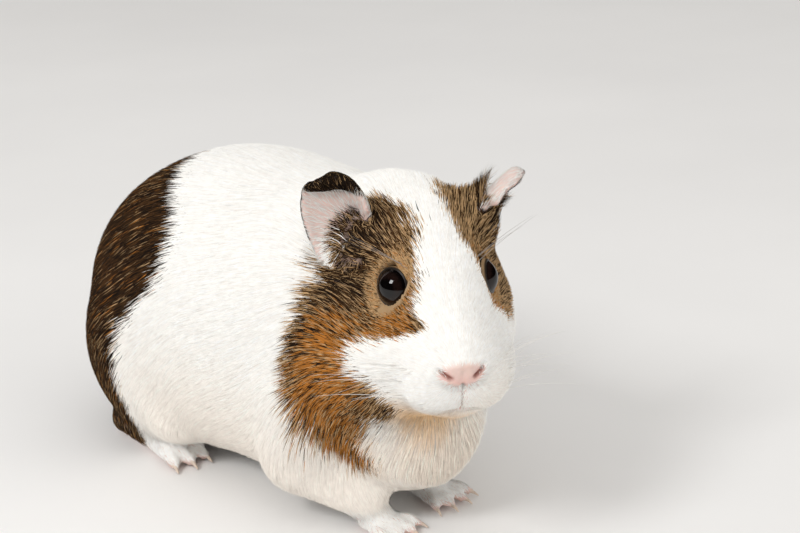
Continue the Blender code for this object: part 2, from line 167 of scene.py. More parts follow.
def applyModifiers(obj):
    bpy.context.view_layer.update()
    graph = bpy.context.evaluated_depsgraph_get()
    mesh = bpy.data.meshes.new_from_object(obj.evaluated_get(graph), depsgraph=graph)
    old = obj.data
    obj.modifiers.clear()
    obj.data = mesh
    bpy.data.meshes.remove(old)
    return mesh


def setColours(mesh, colours):
    layer = mesh.color_attributes.new("coatColour", "FLOAT_COLOR", "POINT")
    four = np.ones((len(colours), 4), dtype=np.float32)
    four[:, :3] = colours
    layer.data.foreach_set("color", four.ravel())


# how the coat lies: each guide is a place, the way the hair points there, and its length, depth and
# width in millimetres; a guide off the middle counts on both sides
coatGuides = {
    # place: back from the nose, out, height; lie: back, out, up
    "head": (
        ((1, 0, 70), (1, 0, 0.8), (1.6, 0.2, 0.2)),
        ((3, 8, 67), (1, 0.6, 0.2), (2.0, 0.3, 0.22)),
        ((8, 0, 76), (1, 0, 0.6), (2.8, 0.6, 0.23)),
        ((3, 4, 57), (0.7, 0.7, -0.7), (1.8, 0.4, 0.22)),
        ((8, 9, 57), (1, 0.7, -0.2), (3.2, 0.7, 0.23)),
        ((10, 3, 50), (1, 0.3, -0.3), (3.2, 0.8, 0.25)),
        ((10, 11, 65), (1, 0.5, 0), (3.6, 0.7, 0.23)),
        ((16, 15, 58), (1, 0.4, -0.25), (5.5, 1.2, 0.27)),
        ((16, 12, 72), (1, 0.4, 0), (4.2, 0.9, 0.25)),
        ((18, 0, 86), (1, 0, 0.6), (4.2, 0.9, 0.25)),
        ((19, 10, 80), (1, 0.3, 0.3), (3.4, 0.7, 0.23)),
        ((28, 0, 94), (1, 0, 0.5), (5.5, 1.2, 0.28)),
        ((30, 10, 91), (1, 0.3, 0.5), (4.0, 0.8, 0.25)),
        ((26, 18, 71), (1, 0.3, -0.3), (5.0, 1.1, 0.27)),
        ((24, 24, 62), (1, 0.2, -0.25), (6, 1.3, 0.27)),
        ((40, 0, 101), (1, 0, 0.2), (6.5, 1.4, 0.29)),
        ((42, 10, 99), (0.8, 0.4, 0.6), (5.5, 1.2, 0.28)),
        ((39, 21, 82), (1, 0.1, -0.1), (5.5, 1.2, 0.27)),
        ((36, 32, 70), (1, 0.1, -0.25), (7, 1.6, 0.29)),
        ((34, 34, 54), (1, 0, -0.45), (8, 2.0, 0.3)),
        ((24, 16, 46), (0.9, 0.3, -0.55), (7, 1.7, 0.29)),
        ((22, 0, 43), (0.9, 0, -0.55), (7, 1.8, 0.29)),
        ((32, 12, 37), (0.6, 0.2, -0.9), (10, 2.6, 0.3)),
        ((46, 40, 70), (1, 0, -0.3), (6.5, 2.0, 0.28)),
        ((44, 40, 50), (0.9, 0, -0.55), (7.5, 2.2, 0.28)),
        ((58, 0, 104), (1, 0, 0), (9, 2.0, 0.33)),
        ((56, 26, 92), (1, 0.2, -0.1), (8.5, 1.9, 0.32)),
    ),
    # place: out to the side, y, height; lie: out, y, up
    "body": (
        ((0, -30, 101), (0, 1, 0), (9, 1.9, 0.32)),
        ((0, 10, 99), (0, 1, 0), (10, 2, 0.34)),
        ((0, 50, 92), (0, 1, -0.35), (10, 2, 0.34)),
        ((0, 82, 72), (0, 0.6, -0.9), (9.5, 2, 0.33)),
        ((0, 95, 45), (0, 0.1, -1), (9, 1.9, 0.32)),
        ((0, 88, 22), (0, -0.5, -0.9), (8, 1.7, 0.3)),
        ((30, 0, 90), (0.3, 1, -0.25), (10, 2, 0.34)),
        ((30, 60, 78), (0.2, 0.8, -0.6), (10, 2, 0.34)),
        ((25, 86, 48), (0, 0.4, -1), (9, 1.9, 0.32)),
        ((45, 0, 62), (0, 1, -0.45), (10, 2, 0.34)),
        ((45, 0, 34), (0, 1, -0.55), (10, 2, 0.33)),
        ((32, 0, 12), (-0.3, 1, -0.3), (9, 1.8, 0.31)),
        ((0, 0, 6), (0, 1, 0), (7, 1.4, 0.28)),
        ((0, 50, 10), (0, 1, 0.1), (7, 1.4, 0.28)),
        ((46, 40, 55), (0, 0.9, -0.7), (10, 2, 0.33)),
        ((47, 35, 30), (0, 0.7, -0.9), (9, 1.8, 0.31)),
        ((42, 50, 14), (0, 0.5, -0.9), (7, 1.4, 0.28)),
        ((40, -30, 66), (0, 0.9, -0.6), (10, 2.2, 0.32)),
        ((40, -38, 40), (0, 0.5, -0.9), (10, 2.2, 0.3)),
        ((38, -36, 22), (0, 0, -1), (8, 1.6, 0.27)),
        ((0, -72, 48), (0, 0.2, -1), (12, 2.8, 0.3)),
        ((14, -68, 40), (0.2, 0.2, -1), (12, 2.8, 0.3)),
        ((0, -60, 24), (0, 0.7, -0.7), (11, 2.3, 0.3)),
        ((0, -30, 10), (0, 1, -0.1), (9, 1.8, 0.3)),
    ),
    # the paws, from the middle of each paw's own box: out, forward, height; lie: out, forward, up
    "forefoot": (
        ((0, -2, 11), (0, 0.4, -1), (4.2, 1, 0.29)),
        ((0, 3, 7), (0, 1, -0.4), (2.6, 0.4, 0.24)),
        ((0, 9, 3), (0, 1, -0.3), (1.6, 0.2, 0.19)),
    ),
    "hindfoot": (
        ((0, -18, 9), (0, 0.5, -0.8), (4.0, 1, 0.31)),
        ((0, 0, 8), (0, 1, -0.2), (3.0, 0.5, 0.26)),
        ((0, 16, 5), (0, 1, -0.2), (2.0, 0.2, 0.2)),
    ),
    "reach": 4.0,  # mm over which guides melt into one another
}


def placedGuides():
    places, lies, sizes = [], [], []

    def add(place, lie, size):
        places.append(tuple(place))
        lies.append(tuple(lie.normalized()))
        sizes.append(size)

    for (back, out, height), (lieBack, lieOut, lieUp), size in coatGuides["head"]:
        for side in (1, -1) if out else (1,):
            add(headPlace(back, out * side, height), headVector(lieBack, lieOut * side, lieUp), size)
    for (out, y, height), (lieOut, lieY, lieUp), size in coatGuides["body"]:
        for side in (1, -1) if out else (1,):
            add(Vector((out * side, y, height)) * mm, Vector((lieOut * side, lieY, lieUp)), size)
    for foot in feet:
        for side, sign in sides.items():
            centre = middle(foot + "_" + side)
            for (out, ahead, height), (lieOut, lieAhead, lieUp), size in coatGuides[foot]:
                place = Vector((centre.x - out * sign * mm, centre.y - ahead * mm, height * mm))
                add(place, Vector((-lieOut * sign, -lieAhead, lieUp)), size)
    return np.array(places), np.array(lies), np.array(sizes)


guidePlaces, guideLies, guideSizes = placedGuides()


def coatAt(points):
    # the way the coat points, and its length, depth and width, at each point
    spread = (points ** 2).sum(1)[:, None] + (guidePlaces ** 2).sum(1)[None] - 2 * points @ guidePlaces.T
    weight = 1 / (np.maximum(spread, 0) + (coatGuides["reach"] * mm) ** 2) ** 2
    weight /= weight.sum(1, keepdims=True)
    return unit(weight @ guideLies), weight @ guideSizes * mm


# where the colours lie, in millimetres: each edge is a smooth line through a few pairs, of a place along it
# and the place of the edge there
markings = {
    "rumpEdge": ((5, 50), (55, 40), (70, 25), (90, 35), (105, 75)),  # height, y
    "leftRumpBack": 10,  # the left edge stands this much further back
    "blazeRight": ((8, 12), (35, 4), (60, 15)),  # back, side
    "blazeLeft": ((8, -14), (20, -13), (30, -7), (40, -4), (60, -7)),
    "cheekFront": ((20, 42), (30, 32), (55, 17), (65, 25), (78, 0)),  # height, back
    "cheekRear": ((20, 42), (55, 47), (85, 50), (108, 57)),
    "throat": ((20, 18), (45, 18), (60, 0)),  # height, side
    "cheekLow": 25,  # height
    "leftLow": ((18, 76), (38, 65), (60, 66)),  # back, height of the left patch's lower edge
    "leftRear": 57,  # back
    "notch": (27, 85),  # side and height of the white behind the ear
    # soft spots of colour, the creamy ones partly the coat's own cream and partly painted shade: share, place
    # on the head, reach; the orange and the black count on both sides
    "creamyAndShaded": (
        (1, (17, 4, 44), 19),
        (0.35, (26, 0, 32), 26),
        (0.15, (10, -6, 56), 13),
        (0.3, (30, 22, 30), 16),
    ),
    "orange": (
        (0.80, (28, 14, 81), 13),  # round the eye
        (0.75, (20, 15, 72), 12),  # in front of and under it
        (0.90, (30, 32, 60), 19),  # the cheek
        (0.85, (36, 34, 48), 17),
        (0.60, (40, 28, 32), 16),
    ),
    "black": (
        (0.85, (47, 22, 94), 19),  # the ear's root
        (0.80, (40, 27, 80), 14),  # behind the eye
        (0.35, (44, 38, 70), 15),
        (0.20, (46, 42, 54), 12),
    ),
    "fluffy": ((28, 0, 34), 28),  # where the white hair is uneven
    "ragged": 1.6,  # mm by which the edges wander
    "waves": 9,  # mm from one bay of an edge to the next
}
tones = {
    "white": (0.95, 0.925, 0.885),
    # the cream tone is partly the coat's own colour and partly painted shade, low on the body and under the
    # chin
    "creamAndShade": (0.80, 0.54, 0.31),
    "black": (0.013, 0.008, 0.005),
    "brown": (0.060, 0.028, 0.010),
    "golden": (0.50, 0.32, 0.16),
    "orange": (0.46, 0.175, 0.032),
    "pink": (0.76, 0.41, 0.36),
    "palePink": (0.76, 0.56, 0.50),
    "deepPink": (0.50, 0.19, 0.15),
    "horn": (0.68, 0.55, 0.45),
    "pupil": (0.002, 0.0015, 0.0015),
    "iris": (0.010, 0.005, 0.004),
    "whisker": (0.80, 0.77, 0.73),
    "browHair": (0.30, 0.27, 0.25),
    "whiteUnder": (0.92, 0.86, 0.79),  # skin under white hair
    "darkUnder": (0.055, 0.030, 0.018),  # skin under dark hair
}
tones = {name: np.array(colour) for name, colour in tones.items()}


def edgeAt(name, along):
    # a rounded line through the points of an edge
    places, edges = np.array(markings[name], dtype=float).T
    slopes = np.gradient(edges, places)
    after = np.clip(np.searchsorted(places, along), 1, len(places) - 1)
    before = after - 1
    span = places[after] - places[before]
    s = np.clip((along - places[before]) / span, 0, 1)
    rise = edges[before] * (1 + 2 * s) * (1 - s) ** 2 + edges[after] * s * s * (3 - 2 * s)
    return rise + span * (slopes[before] * s * (1 - s) ** 2 - slopes[after] * s * s * (1 - s))


def ball(values, centre, radius):
    # a soft ball of influence in (back, side, height), 1 at its centre and 0 past its radius
    distance = np.sqrt(sum((value - c) ** 2 for value, c in zip(values, centre)))
    return 1 - softStep(0.35, 1.0, distance / radius)


def spotsAt(name, values):
    # the strongest of a marking's soft spots at each point
    return np.maximum.reduce([share * ball(values, centre, reach) for share, centre, reach in markings[name]])


def patches(points, jitter):
    # how far each point is inside the rump patch and the two patches of the head, in millimetres
    back, side, height = headCoords(points)
    x, y = points[:, 0] / mm, points[:, 1] / mm
    ragged = markings["ragged"] * (wander(points, markings["waves"] * mm, 1.1) + 1.2 * jitter)
    left = np.clip(x / 30, 0, 1)
    rump = y - edgeAt("rumpEdge", height) - markings["leftRumpBack"] * left + 1.4 * ragged
    aboveCheek = softStep(73, 77, height)
    ahead = mix(back - edgeAt("cheekFront", height), side - edgeAt("blazeRight", back), aboveCheek)
    notchSide, notchHeight = markings["notch"]
    right = np.minimum.reduce([
        np.minimum(ahead, edgeAt("cheekRear", height) - back) + ragged,
        side - edgeAt("throat", height) + 2 * ragged,
        height - markings["cheekLow"] + ragged,
        np.maximum(notchSide - side, notchHeight - height) + ragged,
    ])
    right = np.where(side > -2, right, -9)
    leftPatch = np.minimum(edgeAt("blazeLeft", back) - side, height - edgeAt("leftLow", back))
    leftPatch = np.minimum(leftPatch, markings["leftRear"] - back) + ragged
    leftPatch = np.where(side < 2, leftPatch, -9)
    ofHead = y < -15
    return rump, np.where(ofHead, right, -9), np.where(ofHead, leftPatch, -9)


def warmth(points):
    # how orange, and how black, the coat of the head's patches is
    back, side, height = headCoords(points)
    folded = (back, np.abs(side), height)
    orange, black = spotsAt("orange", folded), spotsAt("black", folded)
    return np.clip(orange * (1 - 0.6 * black), 0, 1), np.clip(black, 0, 1)


def coatColours(points, pick, jitter, paleHair, darkHair, backHair):
    # the colour of a tuft's root, middle and tip; pick and jitter are random numbers, one for each tuft
    rump, right, left = patches(points, jitter)
    orange, black = warmth(points)
    x, y, height = (points[:, i] / mm for i in range(3))
    black = np.where(darkHair, 1.2, np.where(backHair, 0.2, black))
    orange = np.where(darkHair | backHair, 0, orange)
    onRump = rump > np.maximum(right, left)
    depth = np.maximum(rump, np.maximum(right, left))
    inside = ((depth > 0) | darkHair | backHair) & ~paleHair
    rumpGold = 0.1 + 0.1 * wander(points, 0.034, 2.3) + 0.2 * softStep(60, 20, height)
    gold = np.where(left > 0, 0.75, np.where(onRump, rumpGold, 0.5))
    pOrange = np.where(onRump, 0.02, orange * 0.66)
    pBlack = np.where(onRump, 0.60, 0.22 + 0.55 * black - 0.10 * orange)
    pBlack = np.where(left > 0, pBlack * 0.8, pBlack)
    edge = np.where(onRump | darkHair, 0, 1 - softStep(0, 4, depth))
    pBlack, gold = pBlack * (1 - 0.7 * edge), np.maximum(gold, 0.8 * edge)
    clear, past = eyeClearance(points)
    ring = (1 - softStep(18, 50, past)) * (clear < 4)
    pBlack, pOrange = pBlack * (1 - 0.8 * ring), pOrange * (1 - 0.6 * ring)
    gold = np.maximum(gold, 0.9 * ring)
    kind = np.full(len(points), 2)  # 0 black, 1 brown, 2 golden, 3 orange
    kind[pick < pOrange + pBlack + (1 - pOrange - pBlack) * (1 - gold)] = 1
    kind[pick < pOrange + pBlack] = 0
    kind[pick < pOrange] = 3
    rootTone = np.array([tones["black"], tones["black"], tones["brown"], tones["brown"] * 2])[kind]
    midTone = np.array([tones["black"], tones["brown"], tones["golden"], tones["orange"]])[kind]
    tipTone = np.array([tones["black"], tones["brown"] * 1.6, tones["golden"] * 0.7,
                        tones["orange"] * 0.85])[kind]
    values = headCoords(points)
    # cream low on the body, under the chin and on the chest: partly the coat's own cream, partly painted
    # shade
    creamAndShade = 0.2 * softStep(62, 20, height) * softStep(70, 20, y) * softStep(6, 12, height)
    creamAndShade = np.maximum(creamAndShade, spotsAt("creamyAndShaded", values))[:, None]
    white = mix(tones["white"], tones["creamAndShade"], creamAndShade) * np.where(paleHair, 0.82, 1)[:, None]
    fluffy = ball(values, *markings["fluffy"])
    shade = 1 + ((0.10 + 0.12 * fluffy) * jitter)[:, None]
    inside = inside[:, None]
    shade = np.where(inside, 1 + 0.3 * jitter[:, None], shade)
    parts = ((rootTone, white * 0.97), (midTone, white), (tipTone, white))
    return [np.clip(np.where(inside, dark, pale) * shade, 0.002, 0.95) for dark, pale in parts]


skinShape = {
    "closeCuts": 0.26,  # mm that each piece grows, so the cuts between them close
    "earGrow": 0.10,
    "grain": 1.0,  # mm between points
    "bodyPasses": 14,  # rounds of smoothing
    "finePasses": 3,  # the same on ears and paws
}


def grownCopy(node, grow):
    form = formOf(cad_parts[node].data)
    bmesh.ops.remove_doubles(form, verts=form.verts, dist=0.000002)
    form.normal_update()
    moved = [v.co + v.normal * grow * min(v.calc_shell_factor(), 1.6) for v in form.verts]
    for vertex, place in zip(form.verts, moved):
        vertex.co = place
    return meshFrom("grown", form)


def nodeFinder():
    # finds the CAD node that a point of the skin belongs to
    points, faces, owners = [], [], []
    names = fleshNodes + earNodes
    for number, name in enumerate(names):
        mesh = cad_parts[name].data
        first = len(points)
        points += [v.co.copy() for v in mesh.vertices]
        faces += [[first + i for i in face.vertices] for face in mesh.polygons]
        owners += [number] * len(mesh.polygons)
    return BVHTree.FromPolygons(points, faces), np.array(owners), names


def makeSkinBase():
    whole = bmesh.new()
    for name in fleshNodes + earNodes:
        grow = skinShape["earGrow"] if name in earNodes else skinShape["closeCuts"]
        copy = grownCopy(name, grow * mm)
        whole.from_mesh(copy)
        bpy.data.meshes.remove(copy)
    skin = newObject("skin", meshFrom("skin", whole))
    voxels = skin.modifiers.new("voxels", "REMESH")
    voxels.mode = "VOXEL"
    voxels.voxel_size = skinShape["grain"] * mm
    applyModifiers(skin)
    return skin


def ownersOf(points, finder):
    tree, owners, _ = finder
    return np.array([owners[tree.find_nearest(p)[2]] for p in points])


# the face: places in the head's own millimetres (back, side, height)
face = {
    "nosePad": (7.4, 3.7, 64.8),  # half width, half height, height of its middle
    "noseSwell": 0.45,
    "grooveDepth": 0.35,  # between the nostrils
    "grooveWidth": 0.8,
    "nostrilInner": (3.4, 64.0),  # side and height
    "nostrilOuter": (5.6, 65.6),
    "nostrilWidth": 0.55,
    "nostrilDepth": 1.6,
    "cleft": (61.5, 53.4),  # heights between which the lip is split
    "cleftWidth": 0.55,
    "cleftDepth": 0.9,
    "mouthHeight": 52.9,
    "mouthHalf": 5,
    "mouthDepth": 0.6,
    "mouthWidth": 0.6,
    "refine": 10.5,  # mm round the nose and mouth where the skin is finer
}


def segmentDistance(a, b, x, y):
    ax, ay = a
    bx, by = b
    t = np.clip(((x - ax) * (bx - ax) + (y - ay) * (by - ay)) / ((bx - ax) ** 2 + (by - ay) ** 2), 0, 1)
    return np.hypot(x - ax - t * (bx - ax), y - ay - t * (by - ay))


def refineFace(mesh):
    form = formOf(mesh)
    centre = headPlace(3, 0, 60)
    near = [e for e in form.edges if all((v.co - centre).length < face["refine"] * mm for v in e.verts)]
    bmesh.ops.subdivide_edges(form, edges=near, cuts=1, use_grid_fill=True)
    bmesh.ops.triangulate(form, faces=form.faces)
    form.to_mesh(mesh)
    form.free()


def noseMask(back, side, height):
    halfWide, halfHigh, centre = face["nosePad"]
    reach = np.hypot(side / halfWide, (height - centre) / halfHigh)
    return (1 - softStep(0.6, 1.15, reach)) * (back < 8)


def nostrilDistance(side, height):
    (innerSide, innerHeight), (outerSide, outerHeight) = face["nostrilInner"], face["nostrilOuter"]
    return segmentDistance((innerSide, innerHeight), (outerSide, outerHeight), np.abs(side), height)


def cleftDistance(side, height):
    return segmentDistance((0, face["cleft"][0]), (0, face["cleft"][1]), side, height)


def mouthDistance(side, height):
    drop = 0.02 * side ** 2
    beyond = np.maximum(np.abs(side) - face["mouthHalf"], 0)
    return np.hypot(height - face["mouthHeight"] + drop, beyond)


def sculptFace(points, normals):
    back, side, height = headCoords(points)
    front = (back < 9) * 1.0
    lift = face["noseSwell"] * noseMask(back, side, height)
    lift -= face["grooveDepth"] * bell(side, face["grooveWidth"]) * noseMask(back, side, height + 1.5)
    lift -= face["cleftDepth"] * bell(cleftDistance(side, height), face["cleftWidth"]) * front
    lift -= face["mouthDepth"] * bell(mouthDistance(side, height), face["mouthWidth"]) * front
    hole = face["nostrilDepth"] * bell(nostrilDistance(side, height), face["nostrilWidth"]) * (back < 7)
    inward = -np.array(headForward)
    return points + normals * lift[:, None] * mm + inward * hole[:, None] * mm


eyeShape = {
    "forward": {"right": 38, "left": 24},  # degrees by which each eye looks ahead of straight out
    "rise": 11,  # and above level
    "opening": {"right": 57, "left": 45},  # half angle of the opening between the lids
    # the lid's section: degrees past the opening, and mm off the ball
    "lid": ((-3, -0.25), (-1, 0.10), (1, 0.28), (4, 0.34), (8, 0.26), (12, 0.1), (18, -0.25)),
    "darkTo": (3, 7),  # degrees past the opening where the dark rim ends
    "dip": (4, 13),  # degrees past the opening over which the skin comes up again
    "under": 0.4,  # mm that it lies under the ball within them
    "bulge": 0.3,  # mm that the cornea stands forward
    "bulgeSpan": 34,  # degrees
    "iris": ((20, 34), (40, 50)),  # degrees over which the iris begins and ends
    "shortHair": (0.5, 8, 50),  # share of its length at the lids, and degrees over which it grows
}


def eyeAxis(side):
    ahead, rise = math.radians(eyeShape["forward"][side]), math.radians(eyeShape["rise"])
    flat = headForward * math.sin(ahead) + headRight * sides[side] * math.cos(ahead)
    return (flat * math.cos(rise) + up * math.sin(rise)).normalized()


def fromEye(points, side):
    # each point's way and distance from an eye's centre, and the degrees off the way that the eye looks
    away = points - np.array(eyeCentres[side])
    ways = unit(away)
    turned = np.degrees(np.arccos(np.clip(ways @ np.array(eyeAxis(side)), -1, 1)))
    return ways, np.linalg.norm(away, axis=1), turned


def eyeClearance(points):
    # distance in mm from the nearer eye's ball, and the degrees past the opening between its lids
    clear, past = np.full(len(points), 99.0), np.full(len(points), 120.0)
    for side in sides:
        _, distance, turned = fromEye(points, side)
        gap = (distance - eyeRadius) / mm
        nearer = gap < clear
        clear = np.where(nearer, gap, clear)
        past = np.where(nearer, turned - eyeShape["opening"][side], past)
    return clear, past


def openEyes(points):
    # the skin dips under the rim of each eye, where the lids cover it
    for side in sides:
        ways, distance, turned = fromEye(points, side)
        past = turned - eyeShape["opening"][side]
        dip = (1 - softStep(*eyeShape["dip"], past)) * (distance < eyeRadius + 3 * mm)
        wanted = np.minimum(distance, eyeRadius - eyeShape["under"] * mm)
        points = np.array(eyeCentres[side]) + ways * mix(distance, wanted, dip)[:, None]
    return points


def makeSkin():
    finder = nodeFinder()
    skin = makeSkinBase()
    mesh = skin.data
    points = pointsOf(mesh)
    owners = ownersOf(points, finder)
    names = finder[2]
    fine = np.isin(owners, [i for i, name in enumerate(names) if name.startswith(("ear", *feet))])
    clear, _ = eyeClearance(points)
    fine |= clear < 1.5
    form = formOf(mesh)
    form.verts.ensure_lookup_table()
    coarse = [form.verts[i] for i in np.flatnonzero(~fine)]
    for verts, passes in ((coarse, skinShape["bodyPasses"]), (form.verts, skinShape["finePasses"])):
        for _ in range(passes):
            bmesh.ops.smooth_vert(form, verts=verts, factor=0.5,
                                  use_axis_x=True, use_axis_y=True, use_axis_z=True)
    form.to_mesh(mesh)
    form.free()
    refineFace(mesh)
    points, normals = pointsOf(mesh), normalsOf(mesh)
    owners = ownersOf(points, finder)
    isEar = np.isin(owners, [names.index(name) for name in earNodes])
    _, sizes = coatAt(points)
    clear, _ = eyeClearance(points)
    depth = sizes[:, 1] * (1 - isEar) * softStep(0.2, 4, clear)
    back, side, height = headCoords(points)
    depth *= 1 - noseMask(back, side, height)
    points = points - normals * depth[:, None]
    movePoints(mesh, points)
    points = openEyes(sculptFace(points, normalsOf(mesh)))
    points[:, 2] = np.maximum(points[:, 2], 0)
    movePoints(mesh, points)
    return skin, owners, names


print("skin")
skin, skinOwners, ownerNames = makeSkin()
skinPoints, skinNormals = pointsOf(skin.data), normalsOf(skin.data)
skinFaces = [tuple(polygon.vertices) for polygon in skin.data.polygons]
skinTree = BVHTree.FromPolygons([Vector(p) for p in skinPoints], skinFaces)
print("  points", len(skinPoints))


earLooks = {
    "back": 46,  # mm behind the nose
    "out": {"right": 20.5, "left": 15},  # mm to the side
    "height": 92.5,  # mm above the floor
    "opening": {"right": 32, "left": 68},  # degrees that the inner face is turned outward
    "lean": {"right": 0, "left": 29},  # degrees that the ear leans outward
    "fold": 13.5,  # mm above the canal where the rim is folded forward
    "rootHair": {"right": (9, 4), "left": (4, 3)},  # mm of thick hair round the canal, and its hang
    "bareTip": {"right": 30, "left": 6},  # mm above the canal past which both faces are bare
    "innerHair": 0.16,  # share of hair on the rest of the inner face
    "hair": (3.4, 0.5, 0.20),  # its length, depth and width in mm
    # where the coat stands taller: mm above the canal, reach, and how much taller
    "fringe": {"right": (3, 9, 1.5), "left": (7, 14, 4.5)},
}


def earFrames():
    # for each ear its canal, the way its inner face looks, and the ways out and up its face
    found = {}
    for side, sign in sides.items():
        opening = math.radians(earLooks["opening"][side])
        lean = Matrix.Rotation(math.radians(earLooks["lean"][side]) * sign, 3, headForward)
        outward = headRight * sign
        facing = lean @ (headForward * math.cos(opening) + outward * math.sin(opening))
        across = lean @ (outward * math.cos(opening) - headForward * math.sin(opening))
        canal = headPlace(earLooks["back"], earLooks["out"][side] * sign, earLooks["height"])
        found[side] = tuple(np.array(v) for v in (canal, facing, across, lean @ up))
    return found


ears = earFrames()


def earZones(points, normals, name):
    # 1 on an ear's inner face, 1 near its canal, 1 on its folded rim
    canal, facing, _, rise = ears[name]
    away = (points - canal) / mm
    inner = softStep(-0.45, -0.1, normals @ facing)
    hairy, hang = earLooks["rootHair"][name]
    low = away + rise * hang
    root = 1 - softStep(hairy - 3, hairy + 2, np.linalg.norm(low, axis=1))
    fold = softStep(earLooks["fold"] - 0.7, earLooks["fold"] + 0.7, away @ rise)
    return inner, root, fold * (name == "right")


def bareTip(points, name):
    start = earLooks["bareTip"][name]
    return softStep(start, start + 4, (points - ears[name][0]) @ ears[name][3] / mm)


def isNode(owners, *starts):
    return np.isin(owners, [i for i, name in enumerate(ownerNames) if name.startswith(starts)])


def bareness(points, normals, owners):
    # 1 where the skin is bare, 0 where the coat is full
    back, side, height = headCoords(points)
    bare = noseMask(back, side, height)
    lips = np.minimum(cleftDistance(side, height), mouthDistance(side, height))
    bare = np.maximum(bare, (1 - softStep(0.3, 0.8, lips)) * (back < 9))
    clear, past = eyeClearance(points)
    bare = np.maximum(bare, (clear < 3.0) & (past < 7))
    soles = np.maximum(softStep(-0.2, -0.6, normals[:, 2]), softStep(4.5, 2.5, height))
    bare = np.where(isNode(owners, *feet), np.maximum(bare, soles), bare)
    for name in ears:
        mine = isNode(owners, "ear_" + name)
        inner, root, fold = earZones(points, normals, name)
        tip = bareTip(points, name)
        shown = np.maximum(inner * (1 - fold) * (1 - 0.75 * root), tip) * (1 - earLooks["innerHair"])
        bare = np.where(mine, np.maximum(bare, shown), bare)
    return np.clip(bare, 0, 1)


def skinColours(points, normals, owners):
    nothing = np.zeros(len(points))
    rump, right, left = patches(points, nothing)
    inside = softStep(-0.8, 0.8, np.maximum(rump, np.maximum(right, left)))[:, None]
    clear, past = eyeClearance(points)
    ring = ((1 - softStep(12, 40, past)) * (clear < 4))[:, None]
    colour = mix(tones["whiteUnder"], mix(tones["darkUnder"], tones["golden"] * 0.85, ring), inside)
    back, side, height = headCoords(points)
    nose = noseMask(back, side, height)[:, None]
    edge = softStep(3.0, 7.0, np.abs(side))[:, None]
    colour = mix(colour, mix(tones["palePink"], tones["pink"], edge), nose)
    flush = 0.5 * ball((back, side, height), (3, 0, 58), 9)[:, None]
    colour = mix(colour, tones["pink"], flush)
    # the nostrils and the slits of the lip and mouth are darkened deep pink: partly the deeper pink of the
    # skin there, partly painted shade in these hollows
    nostrilTintAndShade = (bell(nostrilDistance(side, height), 0.7) * (back < 8))[:, None]
    colour = mix(colour, tones["deepPink"] * 0.7, nostrilTintAndShade)
    lips = np.minimum(cleftDistance(side, height), mouthDistance(side, height) + 0.08 * np.abs(side))
    lipTintAndShade = (bell(lips, 0.6) * (back < 9) * 0.6)[:, None]
    colour = mix(colour, tones["deepPink"], lipTintAndShade)
    for name in ears:
        mine = isNode(owners, "ear_" + name)[:, None]
        inner, root, fold = (zone[:, None] for zone in earZones(points, normals, name))
        flesh = tones["palePink"] * (1 + 0.06 * wander(points, 0.006, 0.4)[:, None])
        vein = 0.5 * softStep(0.35, 0.9, wander(points, 0.011, 2.2))[:, None]
        flesh = mix(flesh, tones["pink"], vein)
        flesh = flesh * (1 - 0.8 * root) + tones["brown"] * 1.5 * root
        tip = bareTip(points, name)[:, None]
        pink = np.maximum(inner * (1 - fold), tip)
        colour = np.where(mine, mix(tones["darkUnder"], flesh, pink), colour)
    toes = softStep(9, 4, height)[:, None]
    colour = np.where(isNode(owners, *feet)[:, None], mix(colour, tones["palePink"], toes), colour)
    return np.clip(colour, 0.002, 0.95)


setColours(skin.data, skinColours(skinPoints, skinNormals, skinOwners))
skin.data.shade_smooth()


coat = {
    "limit": 33000,  # tufts in one piece
    "total": 240000,  # tufts in all
    "clump": 0.22,  # share by which tips draw together
    "clumpEvery": 12,  # tufts for each tip that draws others
    "patch": 0.003,  # width of a tuft's place on the map
    "sideways": 0.18,  # how far single tufts turn from the lie
    "flat": 0.28,  # thickness over width
    "softness": 0.76,  # share of the skin's own normal in a tuft's
    "spread": (0.6, 1.0),  # how high tips stand, as shares of the coat's depth
    "floor": 0.0002,  # metres above the floor that the coat keeps
}
random = np.random.default_rng(7)


def surfaceTriangles(mesh):
    mesh.calc_loop_triangles()
    corners = np.empty(len(mesh.loop_triangles) * 3, dtype=np.int32)
    mesh.loop_triangles.foreach_get("vertices", corners)
    return corners.reshape(-1, 3)


def rootsOn(triangles, wanted, count):
    # an even scatter over the skin, wanted being the tufts per area on each triangle
    a, b, c = (skinPoints[triangles[:, i]] for i in range(3))
    area = np.linalg.norm(np.cross(b - a, c - a), axis=1) / 2
    share = np.cumsum(area * wanted)
    steps = (np.arange(count) + random.random(count)) / count * share[-1]
    chosen = np.minimum(np.searchsorted(share, steps), len(triangles) - 1)
    u, v = random.random(count), random.random(count)
    fold = u + v > 1
    u, v = np.where(fold, 1 - u, u), np.where(fold, 1 - v, v)
    weights = np.stack([1 - u - v, u, v], axis=1)
    return chosen, weights


def onSkin(points):
    # nearest places on the skin and the normals there
    places, normals = np.empty_like(points), np.empty_like(points)
    for i, point in enumerate(points):
        places[i], normals[i], _, _ = skinTree.find_nearest(point)
    return places, normals


def flattened(vectors, normals):
    return unit(vectors - (vectors * normals).sum(1, keepdims=True) * normals)


def nearestOf(points, picked):
    tree = KDTree(len(picked))
    for number, index in enumerate(picked):
        tree.insert(points[index], number)
    tree.balance()
    return np.array([tree.find(point)[1] for point in points])


# a tuft is a closed spindle: its root, a ring of three points where it is widest, and its tip
ringStart = 1
tuftTip = 4
tuftFaces = np.array([(0, ringStart + (i + 1) % 3, ringStart + i) for i in range(3)]
                     + [(ringStart + i, ringStart + (i + 1) % 3, tuftTip) for i in range(3)])


def tuftMap():
    # where the corners of each triangle of a tuft lie within its patch of the map
    third = 1 / 3
    spots = [(((i + 0.5) * third, 0), ((i + 1) * third, 0.5), (i * third, 0.5)) for i in range(3)]
    spots += [((i * third, 0.5), ((i + 1) * third, 0.5), ((i + 0.5) * third, 1)) for i in range(3)]
    return np.array(spots)


